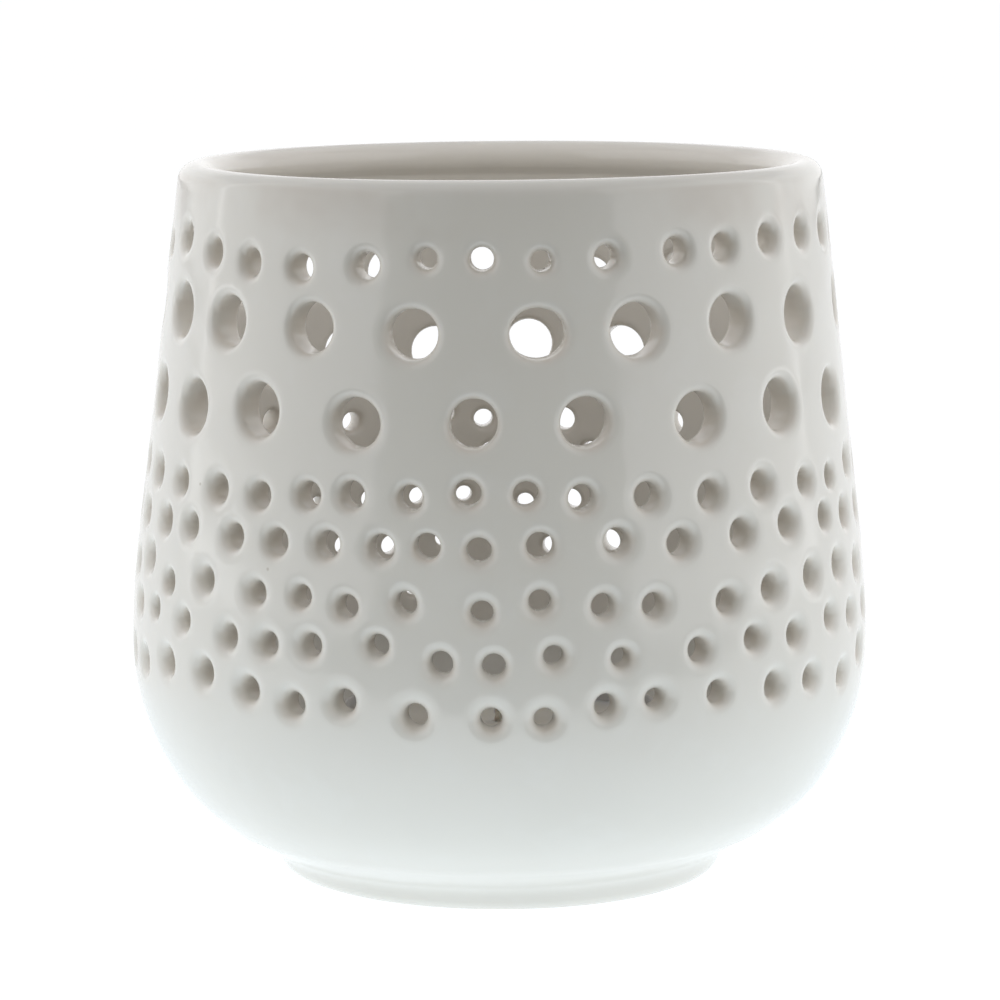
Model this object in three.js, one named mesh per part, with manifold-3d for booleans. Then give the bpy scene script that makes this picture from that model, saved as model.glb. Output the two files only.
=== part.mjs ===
// Pierced ceramic tealight holder with a tealight standing on its floor.
// Millimetres, +Z up. The origin is the centre of the foot, on the surface the holder stands on; -Y is the front.
import * as THREE from 'three';
import { mergeVertices } from 'three/addons/utils/BufferGeometryUtils.js';
import Module from 'manifold-3d';

// ---------------------------------------------------------------- driving dimensions
const HEIGHT = 86.85;            // foot to rim crest
const WALL = 4.0;                // fired wall thickness
const RIM_RADIUS = 2.2;          // full round rim
const RIM_CENTRE = 36.88;        // radius of the rim crest circle
const FOOT_OUTER = 26.1;         // outer radius of the foot ring at the table
const FOOT_INNER = 22.0;         // inner radius of the foot ring
const FOOT_RECESS = 1.2;         // depth of the recess inside the foot ring
const FLOOR_TOP = 5.2;           // height of the inside floor, where the tealight stands
const AROUND = 28;               // facets round the vessel
const SMALL_SIDES = 5;           // sides of a small pierced hole
const LARGE_SIDES = 8;           // sides of a large pierced hole
const LARGE_FROM = 2.2;          // holes of this radius and more are large

// Outside of the body, [radius, height], from the notch above the foot to the shoulder of the rim.
const OUTSIDE = [
  [27.25, 3.6], [33.6, 6.1], [39.0, 11.0], [42.35, 16.3], [44.6, 23.9],
  [45.0, 30.9], [43.4, 48.4], [41.4, 64.9], [39.08, 84.65],
];
// Inside of the body, [radius, height], from the shoulder of the rim down to the floor.
const INSIDE = [
  [34.68, 84.65], [37.4, 64.9], [39.4, 48.4], [41.0, 30.9], [40.4, 23.9], [38.6, 18.0], [34.25, 12.1],
  [29.2, 7.8], [23.0, FLOOR_TOP],
];

// Pierced holes, one list per row from the rim down. Each hole is
// [bearing round the axis in degrees, 0 at the front and growing to the right; height; radius].
// The rows are punched by hand, so spacing, height and size wander a little.
const HOLE_ROWS = [
  [[-177.4, 78.9, 1.31], [-166.4, 78.3, 1.27], [-155.9, 78.86, 1.42], [-145.8, 78.13, 1.22],
    [-135.3, 78.1, 1.44], [-123.2, 78.76, 1.24], [-112.1, 78.14, 1.33], [-100.5, 78.36, 1.28],
    [-91.8, 77.85, 1.32], [-80.3, 77.41, 1.18], [-68.9, 78.82, 1.55], [-56.9, 77.56, 1.48],
    [-46.3, 76.86, 1.52], [-34.9, 76.66, 1.55], [-22.5, 77.24, 1.55], [-12.2, 78.16, 1.19],
    [-3, 78.15, 1.35], [6.8, 77.89, 1.19], [17.8, 78.16, 1.35], [30.6, 78.54, 1.55], [40.4, 78.61, 1.55],
    [51.6, 79.15, 1.55], [63, 79.25, 1.55], [74.4, 79.07, 1.55], [84.1, 78.22, 1.32], [96.6, 77.5, 1.41],
    [107, 77.57, 1.21], [116.6, 77.78, 1.41], [129.4, 77.86, 1.28], [141.2, 78.51, 1.26],
    [150.1, 77.91, 1.33], [161.9, 77.98, 1.35], [172.5, 78.45, 1.27]],
  [[-176.4, 70.07, 2.9], [-157.4, 70.24, 2.9], [-140.5, 69.81, 2.9], [-120.1, 70.25, 2.9],
    [-104.8, 69.91, 2.84], [-85.7, 70.05, 2.95], [-67.6, 70.16, 3.1], [-51, 69.79, 2.98],
    [-32.2, 69.91, 2.91], [-14.3, 69.61, 2.96], [6.1, 69.8, 3.05], [22.5, 69.95, 3.09], [40.7, 70.33, 2.94],
    [59.3, 70.11, 3.1], [82.1, 70.25, 2.75], [103.4, 70.06, 2.84], [122.7, 70.12, 2.87],
    [141.1, 70.29, 2.93], [161.7, 68.97, 2.88]],
  [[-167.2, 59.48, 3.05], [-148.3, 60.01, 2.81], [-131.3, 59.19, 2.96], [-112.7, 59.75, 2.79],
    [-94.5, 59.54, 2.81], [-75.8, 59.7, 2.97], [-59.3, 59.27, 3.07], [-42, 60.05, 3.1], [-23.3, 59.43, 2.96],
    [-4.2, 59.75, 2.79], [13.5, 59.84, 2.88], [32.9, 59.7, 2.95], [51.3, 60.07, 2.98], [70, 59.67, 3.1],
    [89.1, 59.7, 2.9], [102.5, 59.53, 2.81], [121.5, 59.57, 2.83], [138.4, 59.23, 2.87],
    [155.6, 59.78, 3.13], [174.3, 60.36, 3.04]],
  [[-176.8, 50.17, 1.2], [-169.4, 51, 1.3], [-161.9, 51.1, 1.35], [-150.6, 50.34, 1.22],
    [-139.8, 51.54, 1.23], [-131.5, 51.64, 1.28], [-122.4, 51.44, 1.36], [-112.2, 50.68, 1.41],
    [-101.7, 50.7, 1.28], [-90.4, 50.21, 1.34], [-81.5, 51.12, 1.36], [-71.6, 50.68, 1.53],
    [-61, 50.39, 1.32], [-50, 50.44, 1.55], [-40.3, 50.36, 1.51], [-30.9, 50.99, 1.55], [-23.3, 51.38, 1.55],
    [-13.9, 51.31, 1.49], [-5, 51.97, 1.54], [4, 51.91, 1.45], [12.6, 51.35, 1.51], [23.2, 51.29, 1.55],
    [34.2, 50.86, 1.55], [45, 51.22, 1.55], [56.5, 50.82, 1.31], [65.2, 50.69, 1.27], [75.7, 51.49, 1.42],
    [84.6, 50.56, 1.25], [94, 51.57, 1.31], [105.5, 51.02, 1.29], [115.2, 51.19, 1.29], [126.2, 50.85, 1.4],
    [134.3, 51.07, 1.36], [145, 50.64, 1.47], [156.6, 51, 1.3], [167.9, 50.19, 1.5], [175.6, 51.2, 1.3]],
  [[-178.4, 45.51, 1.43], [-166.9, 45.81, 1.29], [-157.1, 46.2, 1.14], [-146.4, 45.4, 1.22],
    [-137.5, 45.32, 1.24], [-126.8, 45.61, 1.4], [-118, 46.15, 1.23], [-106.4, 45.65, 1.39],
    [-97.4, 45.84, 1.44], [-85.1, 45.69, 1.38], [-76.1, 45.31, 1.3], [-65.4, 45.38, 1.45],
    [-56.5, 45.57, 1.32], [-45.3, 45.29, 1.41], [-36.3, 45.33, 1.55], [-27.2, 45.59, 1.55],
    [-18.2, 45.61, 1.55], [-11, 45.98, 1.54], [-3.2, 45.61, 1.42], [6.1, 46.11, 1.55], [17.9, 46.37, 1.5],
    [28.3, 45.77, 1.55], [39.9, 46.11, 1.55], [50.6, 46.46, 1.53], [61.6, 46.28, 1.44], [70.8, 45.79, 1.53],
    [80.4, 45.65, 1.43], [89.5, 45.97, 1.34], [99.7, 45, 1.29], [107.9, 45.14, 1.42], [117.5, 45.01, 1.29],
    [126.9, 45.81, 1.26], [136, 45.91, 1.24], [144.6, 46.35, 1.41], [154, 45.7, 1.3], [162.6, 45.9, 1.3],
    [172.3, 45.6, 1.3]],
  [[-173.3, 39.96, 1.22], [-164.6, 39.82, 1.32], [-155.1, 39.83, 1.32], [-144.3, 39.49, 1.32],
    [-136.2, 39.2, 1.24], [-126.1, 38.55, 1.28], [-118.5, 39.27, 1.26], [-107.6, 40.07, 1.33],
    [-100.2, 39.03, 1.29], [-90.6, 38.81, 1.46], [-79.8, 38.93, 1.25], [-71.3, 40.37, 1.47],
    [-62, 38.42, 1.51], [-51.3, 39.73, 1.42], [-39.7, 39.3, 1.4], [-31.1, 39.5, 1.44], [-23.4, 38.79, 1.54],
    [-14.2, 39.51, 1.48], [-2.7, 38.68, 1.47], [6, 39.88, 1.47], [15.5, 39.2, 1.54], [23.5, 38.96, 1.54],
    [36.2, 38.63, 1.55], [45.4, 39.37, 1.55], [55.8, 39.94, 1.55], [65.3, 40.16, 1.55], [75.1, 39.11, 1.55],
    [86.2, 39.59, 1.42], [96.3, 38.55, 1.37], [107.2, 39.21, 1.3], [115.8, 39.02, 1.3], [125.9, 40.15, 1.31],
    [136.6, 39.29, 1.25], [145.7, 38.87, 1.43], [156.2, 38.73, 1.32], [166.6, 39.41, 1.46],
    [175.3, 38.88, 1.29]],
  [[-179.6, 33.8, 1.35], [-169.7, 33.96, 1.35], [-159.6, 33.33, 1.47], [-150, 33.8, 1.35],
    [-140.4, 34.6, 1.29], [-130.3, 33.43, 1.22], [-121.3, 33.45, 1.2], [-111.7, 34.08, 1.22],
    [-102.6, 34, 1.36], [-94.8, 33.61, 1.15], [-86.2, 34.16, 1.28], [-75.3, 34.51, 1.31],
    [-66.6, 34.8, 1.34], [-56.7, 34.44, 1.2], [-45.1, 33.74, 1.41], [-37, 33.62, 1.45], [-29.2, 34.03, 1.5],
    [-18.3, 34.61, 1.48], [-8.7, 32.83, 1.55], [-0.9, 32.66, 1.55], [8, 33.68, 1.36], [18.1, 33.21, 1.31],
    [30.7, 33.44, 1.55], [41.1, 33.93, 1.46], [50.3, 33.56, 1.36], [60.9, 34.38, 1.27], [69.6, 33.84, 1.23],
    [79.2, 33.82, 1.44], [89.3, 33.51, 1.37], [99.9, 33.83, 1.25], [109, 33.07, 1.29], [120.9, 33.56, 1.38],
    [130.4, 34.53, 1.22], [139.2, 33.55, 1.43], [150.3, 33.33, 1.28], [159.4, 34.01, 1.58],
    [170.5, 32.96, 1.4]],
  [[-175.6, 27.76, 1.38], [-163.9, 27.6, 1.28], [-154, 27.8, 1.35], [-145.4, 27.72, 1.35],
    [-136.5, 27.98, 1.29], [-126.6, 27.97, 1.33], [-117.2, 28.27, 1.29], [-108.8, 28.3, 1.29],
    [-100.4, 27.63, 1.23], [-90.2, 27.94, 1.42], [-80.7, 28.16, 1.44], [-71.8, 27.89, 1.36],
    [-61.6, 29, 1.51], [-50.8, 28.99, 1.55], [-40.8, 27.96, 1.52], [-32.3, 27, 1.51], [-23.7, 27.88, 1.55],
    [-12.6, 26.73, 1.55], [-1.3, 26.56, 1.42], [6.6, 26.56, 1.37], [15.7, 27.85, 1.48], [23.5, 28.28, 1.32],
    [34, 28.3, 1.51], [45.4, 28.02, 1.53], [54.4, 27.97, 1.32], [65.2, 27.05, 1.28], [74.6, 29.05, 1.55],
    [84.9, 27.8, 1.28], [94.4, 28.12, 1.3], [103.6, 28.4, 1.43], [115.7, 28.56, 1.33], [125.2, 28.41, 1.36],
    [134.2, 27.82, 1.33], [147, 27.92, 1.26], [154.5, 27.83, 1.27], [165.4, 27.44, 1.19],
    [175.4, 28.05, 1.33]],
];

// Tealight
const CUP_RADIUS = 19.0;         // outside radius of the cup's wall
const CUP_HEIGHT = 14.6;         // floor to lip
const CUP_WALL = 0.4;            // wall and floor thickness
const CUP_LIP = 0.45;            // how far the rolled lip stands proud of the wall
const WAX_HEIGHT = 11.6;         // wax fill above the cup's floor
const WAX_GAP = 0.3;             // clearance between wax and cup
const WICK_RADIUS = 0.8;
const WICK_TOP = 7.0;            // wick above the wax
const SUSTAINER_RADIUS = 6.5;
const SUSTAINER_THICKNESS = 0.5;
const COLLAR_OUTER = 1.7;
const COLLAR_INNER = 1.1;
const COLLAR_HEIGHT = 3.2;
const REST_GAP = 0.02;           // the cup stands on the floor with this hairline gap

// ---------------------------------------------------------------- materials
const glaze = new THREE.MeshStandardMaterial({ name: 'white_glaze', color: 0xebebe6, roughness: 0.18, metalness: 0 });
const foil = new THREE.MeshStandardMaterial({ name: 'aluminium', color: 0xc9cacb, roughness: 0.35, metalness: 1 });
const wax = new THREE.MeshStandardMaterial({ name: 'wax', color: 0xf1ede0, roughness: 0.5, metalness: 0 });
const tin = new THREE.MeshStandardMaterial({ name: 'tinplate', color: 0xb9bbbd, roughness: 0.3, metalness: 1 });
const cotton = new THREE.MeshStandardMaterial({ name: 'cotton', color: 0xe4ddcc, roughness: 0.95, metalness: 0 });

// ---------------------------------------------------------------- helpers
// A solid of revolution about +Z from a closed [radius, height] outline, listed anticlockwise in the
// radius-height plane so that its faces point out.
function revolve(outline, segments) {
  const points = outline.map(([r, z]) => new THREE.Vector2(r, z));
  const geometry = new THREE.LatheGeometry(points, segments);
  geometry.rotateX(Math.PI / 2);
  return weld(geometry);
}

function weld(geometry) {
  geometry.deleteAttribute('normal');
  geometry.deleteAttribute('uv');
  const merged = mergeVertices(geometry, 1e-4);
  const index = merged.getIndex().array;
  const kept = [];
  for (let i = 0; i < index.length; i += 3) {
    const [a, b, c] = [index[i], index[i + 1], index[i + 2]];
    if (a !== b && b !== c && c !== a) kept.push(a, b, c);
  }
  merged.setIndex(kept);
  return merged;
}

const wasm = await Module();
wasm.setup();

function toManifold(geometry) {
  return new wasm.Manifold(new wasm.Mesh({
    numProp: 3,
    vertProperties: new Float32Array(geometry.getAttribute('position').array),
    triVerts: new Uint32Array(geometry.getIndex().array),
  }));
}

function toGeometry(solid) {
  const mesh = solid.getMesh();
  const geometry = new THREE.BufferGeometry();
  geometry.setAttribute('position', new THREE.BufferAttribute(new Float32Array(mesh.vertProperties), 3));
  geometry.setIndex(new THREE.BufferAttribute(new Uint32Array(mesh.triVerts), 1));
  geometry.computeVertexNormals();
  return geometry;
}

function radiusAt(outline, height) {
  for (let i = 1; i < outline.length; i += 1) {
    const [r0, z0] = outline[i - 1];
    const [r1, z1] = outline[i];
    if ((height - z0) * (height - z1) <= 0 && z0 !== z1) return r0 + ((r1 - r0) * (height - z0)) / (z1 - z0);
  }
  return outline[0][0];
}

// ---------------------------------------------------------------- ceramic vessel
function vesselOutline() {
  const outline = [[0, FOOT_RECESS], [FOOT_INNER - 0.6, FOOT_RECESS], [FOOT_INNER, 0], [FOOT_OUTER, 0], [26.95, 0.6]];
  outline.push(...OUTSIDE);
  const steps = 4;
  for (let i = 1; i < steps; i += 1) {
    const a = (Math.PI * i) / steps;
    outline.push([RIM_CENTRE + RIM_RADIUS * Math.cos(a), HEIGHT - RIM_RADIUS + RIM_RADIUS * Math.sin(a)]);
  }
  outline.push(...INSIDE, [0, FLOOR_TOP]);
  return outline;
}

// One radial punch: a prism through the wall at the hole's bearing and height. Its sides are set so that
// the prism has the area of the round hole.
function punch([bearing, height, radius]) {
  const sides = radius >= LARGE_FROM ? LARGE_SIDES : SMALL_SIDES;
  const step = (2 * Math.PI) / sides;
  const corner = radius * Math.sqrt(step / Math.sin(step));
  const outer = radiusAt(OUTSIDE, height);
  const inner = outer - WALL;
  const length = WALL + 5;
  const geometry = new THREE.CylinderGeometry(corner, corner, length, sides, 1);
  geometry.rotateY(Math.PI / sides);
  geometry.translate(0, -(outer + inner) / 2, 0);
  geometry.rotateZ(THREE.MathUtils.degToRad(bearing));
  geometry.translate(0, 0, height);
  return toManifold(weld(geometry));
}

const blank = toManifold(revolve(vesselOutline(), AROUND));
const punches = HOLE_ROWS.flat().map(punch);
const pierced = wasm.Manifold.difference([blank, ...punches]);
const holderShell = new THREE.Mesh(toGeometry(pierced), glaze);
holderShell.name = 'holder_shell';

// ---------------------------------------------------------------- tealight
const CUP_FLOOR = CUP_WALL;
const cupInner = CUP_RADIUS - CUP_WALL;
const tealightCup = new THREE.Mesh(revolve([
  [0, 0], [CUP_RADIUS - 0.8, 0], [CUP_RADIUS, 0.8], [CUP_RADIUS, CUP_HEIGHT - 0.8],
  [CUP_RADIUS + CUP_LIP, CUP_HEIGHT - 0.4], [CUP_RADIUS, CUP_HEIGHT], [cupInner, CUP_HEIGHT],
  [cupInner, 0.9], [cupInner - 0.5, CUP_FLOOR], [0, CUP_FLOOR],
], 40), foil);
tealightCup.name = 'tealight_cup';

const SUSTAINER_BASE = CUP_FLOOR + 0.1;
const wickSustainer = new THREE.Mesh(revolve([
  [0, SUSTAINER_BASE], [SUSTAINER_RADIUS, SUSTAINER_BASE], [SUSTAINER_RADIUS, SUSTAINER_BASE + SUSTAINER_THICKNESS],
  [COLLAR_OUTER, SUSTAINER_BASE + SUSTAINER_THICKNESS], [COLLAR_OUTER, SUSTAINER_BASE + COLLAR_HEIGHT],
  [COLLAR_INNER, SUSTAINER_BASE + COLLAR_HEIGHT], [COLLAR_INNER, SUSTAINER_BASE + SUSTAINER_THICKNESS],
  [0, SUSTAINER_BASE + SUSTAINER_THICKNESS],
], 24), tin);
wickSustainer.name = 'wick_sustainer';

// The wax is poured round the sustainer: it bridges over the disc and the collar and leaves room for the wick.
const waxTop = CUP_FLOOR + WAX_HEIGHT;
const waxRadius = cupInner - WAX_GAP;
const overDisc = SUSTAINER_BASE + SUSTAINER_THICKNESS + WAX_GAP;
const overCollar = SUSTAINER_BASE + COLLAR_HEIGHT + WAX_GAP;
const tealightWax = new THREE.Mesh(revolve([
  [SUSTAINER_RADIUS + WAX_GAP, CUP_FLOOR + WAX_GAP], [waxRadius - 0.7, CUP_FLOOR + WAX_GAP], [waxRadius, 1.3],
  [waxRadius, waxTop], [4.0, waxTop - 0.35], [WICK_RADIUS + WAX_GAP, waxTop - 0.6],
  [WICK_RADIUS + WAX_GAP, overCollar], [COLLAR_OUTER + WAX_GAP, overCollar], [COLLAR_OUTER + WAX_GAP, overDisc],
  [SUSTAINER_RADIUS + WAX_GAP, overDisc], [SUSTAINER_RADIUS + WAX_GAP, CUP_FLOOR + WAX_GAP],
], 36), wax);
tealightWax.name = 'tealight_wax';

const wickBase = SUSTAINER_BASE + SUSTAINER_THICKNESS + 0.1;
const wick = new THREE.Mesh(revolve([
  [0, wickBase], [WICK_RADIUS, wickBase], [WICK_RADIUS, waxTop + WICK_TOP - 0.3],
  [WICK_RADIUS - 0.3, waxTop + WICK_TOP], [0, waxTop + WICK_TOP],
], 12), cotton);
wick.name = 'wick';

const tealight = new THREE.Group();
tealight.add(tealightCup, tealightWax, wickSustainer, wick);
tealight.position.set(0, 0, FLOOR_TOP + REST_GAP);

const tealightHolder = new THREE.Group();
tealightHolder.add(holderShell, tealight);

export default tealightHolder;
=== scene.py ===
"""A pierced, white-glazed ceramic tealight holder with a tealight standing on its floor.

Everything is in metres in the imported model's frame. The vessel's mesh is made here from its turned profile and its
table of hand-punched holes: two fine sheets (outside and inside of the wall) are triangulated round the holes, and each
hole is lined with its own rounded bore, so the edges are soft the way a glaze leaves them.
"""
import math

import bpy
import numpy as np
from mathutils import Matrix, Vector
from mathutils.geometry import delaunay_2d_cdt


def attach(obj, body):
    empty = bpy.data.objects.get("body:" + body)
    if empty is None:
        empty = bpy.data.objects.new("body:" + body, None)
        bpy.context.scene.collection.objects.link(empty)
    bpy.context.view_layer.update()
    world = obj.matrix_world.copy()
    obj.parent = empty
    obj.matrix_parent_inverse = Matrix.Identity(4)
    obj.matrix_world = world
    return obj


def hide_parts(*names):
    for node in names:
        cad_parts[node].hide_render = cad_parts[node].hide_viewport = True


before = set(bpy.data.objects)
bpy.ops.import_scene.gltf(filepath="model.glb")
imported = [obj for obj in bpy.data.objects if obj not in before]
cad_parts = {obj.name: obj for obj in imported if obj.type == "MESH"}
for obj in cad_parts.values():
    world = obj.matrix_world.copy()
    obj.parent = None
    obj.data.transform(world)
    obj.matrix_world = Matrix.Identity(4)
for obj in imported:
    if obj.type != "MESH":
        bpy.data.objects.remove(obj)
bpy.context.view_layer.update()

MM = 0.001
scene = bpy.context.scene
rng = np.random.default_rng(20)

# ------------------------------------------------------------------------------------------------ vessel, sizes in mm
AROUND = 180            # points round each turned ring
RIM_R, RIM_Z, RIM_ROUND = 36.88, 84.65, 2.2
SHEET_LO, SHEET_HI, SHEET_HI_IN = 22.0, 83.2, 82.4
# The outside of the wall, (height, radius), from the widest part of the underside to the rim's shoulder.
OUTSIDE = [
    (6.1, 33.8), (9.27, 37.6), (13.41, 40.75), (18.38, 43.13), (24.18, 44.66), (30.81, 45.0), (39.09, 44.47),
    (48.2, 43.41), (58.14, 42.2), (68.08, 41.05), (76.37, 40.12), (84.91, 39.06),
]
# One list per row, from the rim down; each hole is [bearing in degrees, height, radius].
HOLE_ROWS = [
  [[-177.4, 78.9, 1.31], [-166.4, 78.3, 1.27], [-155.9, 78.86, 1.42], [-145.8, 78.13, 1.22],
    [-135.3, 78.1, 1.44], [-123.2, 78.76, 1.24], [-112.1, 78.14, 1.33], [-100.5, 78.36, 1.28],
    [-91.8, 77.85, 1.32], [-80.3, 77.41, 1.18], [-68.9, 78.82, 1.55], [-56.9, 77.56, 1.48],
    [-46.3, 76.86, 1.52], [-34.9, 76.66, 1.55], [-22.5, 77.24, 1.55], [-12.2, 78.16, 1.19],
    [-3, 78.15, 1.35], [6.8, 77.89, 1.19], [17.8, 78.16, 1.35], [30.6, 78.54, 1.55], [40.4, 78.61, 1.55],
    [51.6, 79.15, 1.55], [63, 79.25, 1.55], [74.4, 79.07, 1.55], [84.1, 78.22, 1.32], [96.6, 77.5, 1.41],
    [107, 77.57, 1.21], [116.6, 77.78, 1.41], [129.4, 77.86, 1.28], [141.2, 78.51, 1.26],
    [150.1, 77.91, 1.33], [161.9, 77.98, 1.35], [172.5, 78.45, 1.27]],
  [[-176.4, 70.07, 2.9], [-157.4, 70.24, 2.9], [-140.5, 69.81, 2.9], [-120.1, 70.25, 2.9],
    [-104.8, 69.91, 2.84], [-85.7, 70.05, 2.95], [-67.6, 70.16, 3.1], [-51, 69.79, 2.98],
    [-32.2, 69.91, 2.91], [-14.3, 69.61, 2.96], [6.1, 69.8, 3.05], [22.5, 69.95, 3.09], [40.7, 70.33, 2.94],
    [59.3, 70.11, 3.1], [82.1, 70.25, 2.75], [103.4, 70.06, 2.84], [122.7, 70.12, 2.87],
    [141.1, 70.29, 2.93], [161.7, 68.97, 2.88]],
  [[-167.2, 59.48, 3.05], [-148.3, 60.01, 2.81], [-131.3, 59.19, 2.96], [-112.7, 59.75, 2.79],
    [-94.5, 59.54, 2.81], [-75.8, 59.7, 2.97], [-59.3, 59.27, 3.07], [-42, 60.05, 3.1], [-23.3, 59.43, 2.96],
    [-4.2, 59.75, 2.79], [13.5, 59.84, 2.88], [32.9, 59.7, 2.95], [51.3, 60.07, 2.98], [70, 59.67, 3.1],
    [89.1, 59.7, 2.9], [102.5, 59.53, 2.81], [121.5, 59.57, 2.83], [138.4, 59.23, 2.87],
    [155.6, 59.78, 3.13], [174.3, 60.36, 3.04]],
  [[-176.8, 50.17, 1.2], [-169.4, 51, 1.3], [-161.9, 51.1, 1.35], [-150.6, 50.34, 1.22],
    [-139.8, 51.54, 1.23], [-131.5, 51.64, 1.28], [-122.4, 51.44, 1.36], [-112.2, 50.68, 1.41],
    [-101.7, 50.7, 1.28], [-90.4, 50.21, 1.34], [-81.5, 51.12, 1.36], [-71.6, 50.68, 1.53],
    [-61, 50.39, 1.32], [-50, 50.44, 1.55], [-40.3, 50.36, 1.51], [-30.9, 50.99, 1.55], [-23.3, 51.38, 1.55],
    [-13.9, 51.31, 1.49], [-5, 51.97, 1.54], [4, 51.91, 1.45], [12.6, 51.35, 1.51], [23.2, 51.29, 1.55],
    [34.2, 50.86, 1.55], [45, 51.22, 1.55], [56.5, 50.82, 1.31], [65.2, 50.69, 1.27], [75.7, 51.49, 1.42],
    [84.6, 50.56, 1.25], [94, 51.57, 1.31], [105.5, 51.02, 1.29], [115.2, 51.19, 1.29], [126.2, 50.85, 1.4],
    [134.3, 51.07, 1.36], [145, 50.64, 1.47], [156.6, 51, 1.3], [167.9, 50.19, 1.5], [175.6, 51.2, 1.3]],
  [[-178.4, 45.51, 1.43], [-166.9, 45.81, 1.29], [-157.1, 46.2, 1.14], [-146.4, 45.4, 1.22],
    [-137.5, 45.32, 1.24], [-126.8, 45.61, 1.4], [-118, 46.15, 1.23], [-106.4, 45.65, 1.39],
    [-97.4, 45.84, 1.44], [-85.1, 45.69, 1.38], [-76.1, 45.31, 1.3], [-65.4, 45.38, 1.45],
    [-56.5, 45.57, 1.32], [-45.3, 45.29, 1.41], [-36.3, 45.33, 1.55], [-27.2, 45.59, 1.55],
    [-18.2, 45.61, 1.55], [-11, 45.98, 1.54], [-3.2, 45.61, 1.42], [6.1, 46.11, 1.55], [17.9, 46.37, 1.5],
    [28.3, 45.77, 1.55], [39.9, 46.11, 1.55], [50.6, 46.46, 1.53], [61.6, 46.28, 1.44], [70.8, 45.79, 1.53],
    [80.4, 45.65, 1.43], [89.5, 45.97, 1.34], [99.7, 45, 1.29], [107.9, 45.14, 1.42], [117.5, 45.01, 1.29],
    [126.9, 45.81, 1.26], [136, 45.91, 1.24], [144.6, 46.35, 1.41], [154, 45.7, 1.3], [162.6, 45.9, 1.3],
    [172.3, 45.6, 1.3]],
  [[-173.3, 39.96, 1.22], [-164.6, 39.82, 1.32], [-155.1, 39.83, 1.32], [-144.3, 39.49, 1.32],
    [-136.2, 39.2, 1.24], [-126.1, 38.55, 1.28], [-118.5, 39.27, 1.26], [-107.6, 40.07, 1.33],
    [-100.2, 39.03, 1.29], [-90.6, 38.81, 1.46], [-79.8, 38.93, 1.25], [-71.3, 40.37, 1.47],
    [-62, 38.42, 1.51], [-51.3, 39.73, 1.42], [-39.7, 39.3, 1.4], [-31.1, 39.5, 1.44], [-23.4, 38.79, 1.54],
    [-14.2, 39.51, 1.48], [-2.7, 38.68, 1.47], [6, 39.88, 1.47], [15.5, 39.2, 1.54], [23.5, 38.96, 1.54],
    [36.2, 38.63, 1.55], [45.4, 39.37, 1.55], [55.8, 39.94, 1.55], [65.3, 40.16, 1.55], [75.1, 39.11, 1.55],
    [86.2, 39.59, 1.42], [96.3, 38.55, 1.37], [107.2, 39.21, 1.3], [115.8, 39.02, 1.3], [125.9, 40.15, 1.31],
    [136.6, 39.29, 1.25], [145.7, 38.87, 1.43], [156.2, 38.73, 1.32], [166.6, 39.41, 1.46],
    [175.3, 38.88, 1.29]],
  [[-179.6, 33.8, 1.35], [-169.7, 33.96, 1.35], [-159.6, 33.33, 1.47], [-150, 33.8, 1.35],
    [-140.4, 34.6, 1.29], [-130.3, 33.43, 1.22], [-121.3, 33.45, 1.2], [-111.7, 34.08, 1.22],
    [-102.6, 34, 1.36], [-94.8, 33.61, 1.15], [-86.2, 34.16, 1.28], [-75.3, 34.51, 1.31],
    [-66.6, 34.8, 1.34], [-56.7, 34.44, 1.2], [-45.1, 33.74, 1.41], [-37, 33.62, 1.45], [-29.2, 34.03, 1.5],
    [-18.3, 34.61, 1.48], [-8.7, 32.83, 1.55], [-0.9, 32.66, 1.55], [8, 33.68, 1.36], [18.1, 33.21, 1.31],
    [30.7, 33.44, 1.55], [41.1, 33.93, 1.46], [50.3, 33.56, 1.36], [60.9, 34.38, 1.27], [69.6, 33.84, 1.23],
    [79.2, 33.82, 1.44], [89.3, 33.51, 1.37], [99.9, 33.83, 1.25], [109, 33.07, 1.29], [120.9, 33.56, 1.38],
    [130.4, 34.53, 1.22], [139.2, 33.55, 1.43], [150.3, 33.33, 1.28], [159.4, 34.01, 1.58],
    [170.5, 32.96, 1.4]],
  [[-175.6, 27.76, 1.38], [-163.9, 27.6, 1.28], [-154, 27.8, 1.35], [-145.4, 27.72, 1.35],
    [-136.5, 27.98, 1.29], [-126.6, 27.97, 1.33], [-117.2, 28.27, 1.29], [-108.8, 28.3, 1.29],
    [-100.4, 27.63, 1.23], [-90.2, 27.94, 1.42], [-80.7, 28.16, 1.44], [-71.8, 27.89, 1.36],
    [-61.6, 29, 1.51], [-50.8, 28.99, 1.55], [-40.8, 27.96, 1.52], [-32.3, 27, 1.51], [-23.7, 27.88, 1.55],
    [-12.6, 26.73, 1.55], [-1.3, 26.56, 1.42], [6.6, 26.56, 1.37], [15.7, 27.85, 1.48], [23.5, 28.28, 1.32],
    [34, 28.3, 1.51], [45.4, 28.02, 1.53], [54.4, 27.97, 1.32], [65.2, 27.05, 1.28], [74.6, 29.05, 1.55],
    [84.9, 27.8, 1.28], [94.4, 28.12, 1.3], [103.6, 28.4, 1.43], [115.7, 28.56, 1.33], [125.2, 28.41, 1.36],
    [134.2, 27.82, 1.33], [147, 27.92, 1.26], [154.5, 27.83, 1.27], [165.4, 27.44, 1.19],
    [175.4, 28.05, 1.33]],
]
LARGE_FROM = 2.2


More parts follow.
